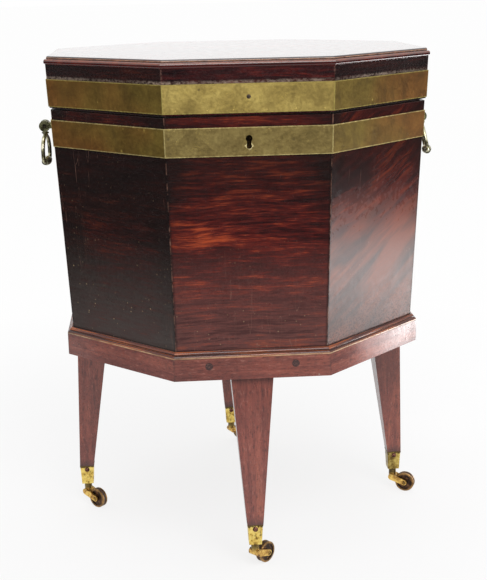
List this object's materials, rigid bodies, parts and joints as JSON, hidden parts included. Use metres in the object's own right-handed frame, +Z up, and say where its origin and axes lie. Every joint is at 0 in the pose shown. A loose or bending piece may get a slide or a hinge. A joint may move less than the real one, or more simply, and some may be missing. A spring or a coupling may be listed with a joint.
{
  "type": "cellarette",
  "caption": "Octagonal mahogany cellarette: tapered brass-bound case with hinged lid, lock and ring handles, lifting off a castored stand with tapered legs.",
  "frame": {"origin": "on the floor, under the axis of the octagonal case", "axes": "+Z up; the face with the keyhole looks along -Y; +X to the right of someone facing it"},
  "size_m": [0.5407, 0.4964, 0.6533],
  "materials": {
    "case_mahogany": "polished and worn",
    "lid_mahogany": "polished and worn",
    "stand_mahogany": "dry and faded",
    "oak": "unfinished",
    "band_brass": "tarnished",
    "cup_brass": "polished",
    "castor_brass": "dull",
    "handle_brass": "tarnished",
    "lock_brass": "dull",
    "dark_steel": "dark",
    "tread_leather": "worn",
    "lead": "dull"
  },
  "bodies": {
    "stand": {"stand_rails": "stand_mahogany", "stand_moulding": "stand_mahogany", "stand_bearers": "oak", "rail_pellets": "stand_mahogany", "bearer_screws": "dark_steel", "leg_front": "stand_mahogany", "leg_right": "stand_mahogany", "leg_back": "stand_mahogany", "leg_left": "stand_mahogany", "castor_socket_front": "cup_brass", "castor_socket_right": "cup_brass", "castor_socket_back": "cup_brass", "castor_socket_left": "cup_brass", "castor_screws": "cup_brass"},
    "case": {"panel_front": "case_mahogany", "panel_front_right": "case_mahogany", "panel_right": "case_mahogany", "panel_back_right": "case_mahogany", "panel_back": "case_mahogany", "panel_back_left": "case_mahogany", "panel_left": "case_mahogany", "panel_front_left": "case_mahogany", "case_floor": "oak", "lead_liner": "lead", "case_band": "band_brass", "lock_case": "lock_brass", "hinge_leaves_case": "lock_brass", "hinge_pins": "lock_brass", "hinge_screws_case": "lock_brass", "handle_roses": "handle_brass", "handle_posts": "handle_brass", "handle_pins": "dark_steel", "handle_nuts": "dark_steel"},
    "lid": {"lid_board": "lid_mahogany", "lid_rails": "lid_mahogany", "lid_band": "band_brass", "lid_band_screw": "dark_steel", "lock_link_plate": "lock_brass", "hinge_leaves_lid": "lock_brass", "hinge_screws_lid": "lock_brass"},
    "bolt": {"lock_bolt": "dark_steel"},
    "left_ring": {"ring_left": "handle_brass"},
    "right_ring": {"ring_right": "handle_brass"},
    "swivel_front": {"castor_horn_front": "castor_brass", "castor_axle_front": "castor_brass"},
    "wheel_front": {"castor_wheel_front": "castor_brass", "castor_tread_front": "tread_leather"},
    "swivel_right": {"castor_horn_right": "castor_brass", "castor_axle_right": "castor_brass"},
    "wheel_right": {"castor_wheel_right": "castor_brass", "castor_tread_right": "tread_leather"},
    "swivel_back": {"castor_horn_back": "castor_brass", "castor_axle_back": "castor_brass"},
    "wheel_back": {"castor_wheel_back": "castor_brass", "castor_tread_back": "tread_leather"},
    "swivel_left": {"castor_horn_left": "castor_brass", "castor_axle_left": "castor_brass"},
    "wheel_left": {"castor_wheel_left": "castor_brass", "castor_tread_left": "tread_leather"}
  },
  "joints": [
    {"name": "case_lift", "type": "slide", "parent": "stand", "child": "case", "axis": [0, 0, 1], "range_m": [0, 0.06]},
    {"name": "lid_hinge", "type": "hinge", "parent": "case", "child": "lid", "pos_m": [0, 0.24595, 0.5873], "axis": [-1, 0, 0], "range_deg": [0, 100]},
    {"name": "bolt_throw", "type": "slide", "parent": "case", "child": "bolt", "axis": [1, 0, 0], "range_m": [0, 0.006]},
    {"name": "ring_left_swing", "type": "hinge", "parent": "case", "child": "left_ring", "pos_m": [-0.25835, 0, 0.55541], "axis": [0, 1, 0], "range_deg": [-12, 160]},
    {"name": "ring_right_swing", "type": "hinge", "parent": "case", "child": "right_ring", "pos_m": [0.25835, 0, 0.55541], "axis": [0, -1, 0], "range_deg": [-24, 148]},
    {"name": "swivel_front_turn", "type": "hinge", "parent": "stand", "child": "swivel_front", "pos_m": [0, -0.22582, 0.0343], "axis": [0, 0, 1], "continuous": true},
    {"name": "wheel_front_spin", "type": "hinge", "parent": "swivel_front", "child": "wheel_front", "pos_m": [0.01426, -0.21252, 0.014], "axis": [-0.682, 0.7314, 0], "continuous": true},
    {"name": "swivel_right_turn", "type": "hinge", "parent": "stand", "child": "swivel_right", "pos_m": [0.22582, 0, 0.0343], "axis": [0, 0, 1], "continuous": true},
    {"name": "wheel_right_spin", "type": "hinge", "parent": "swivel_right", "child": "wheel_right", "pos_m": [0.24334, -0.00855, 0.014], "axis": [0.4384, 0.8988, 0], "continuous": true},
    {"name": "swivel_back_turn", "type": "hinge", "parent": "stand", "child": "swivel_back", "pos_m": [0, 0.22582, 0.0343], "axis": [0, 0, 1], "continuous": true},
    {"name": "wheel_back_spin", "type": "hinge", "parent": "swivel_back", "child": "wheel_back", "pos_m": [0.01767, 0.23406, 0.014], "axis": [-0.4226, 0.9063, 0], "continuous": true},
    {"name": "swivel_left_turn", "type": "hinge", "parent": "stand", "child": "swivel_left", "pos_m": [-0.22582, 0, 0.0343], "axis": [0, 0, 1], "continuous": true},
    {"name": "wheel_left_spin", "type": "hinge", "parent": "swivel_left", "child": "wheel_left", "pos_m": [-0.21133, -0.01305, 0.014], "axis": [0.6691, 0.7431, 0], "continuous": true}
  ]
}
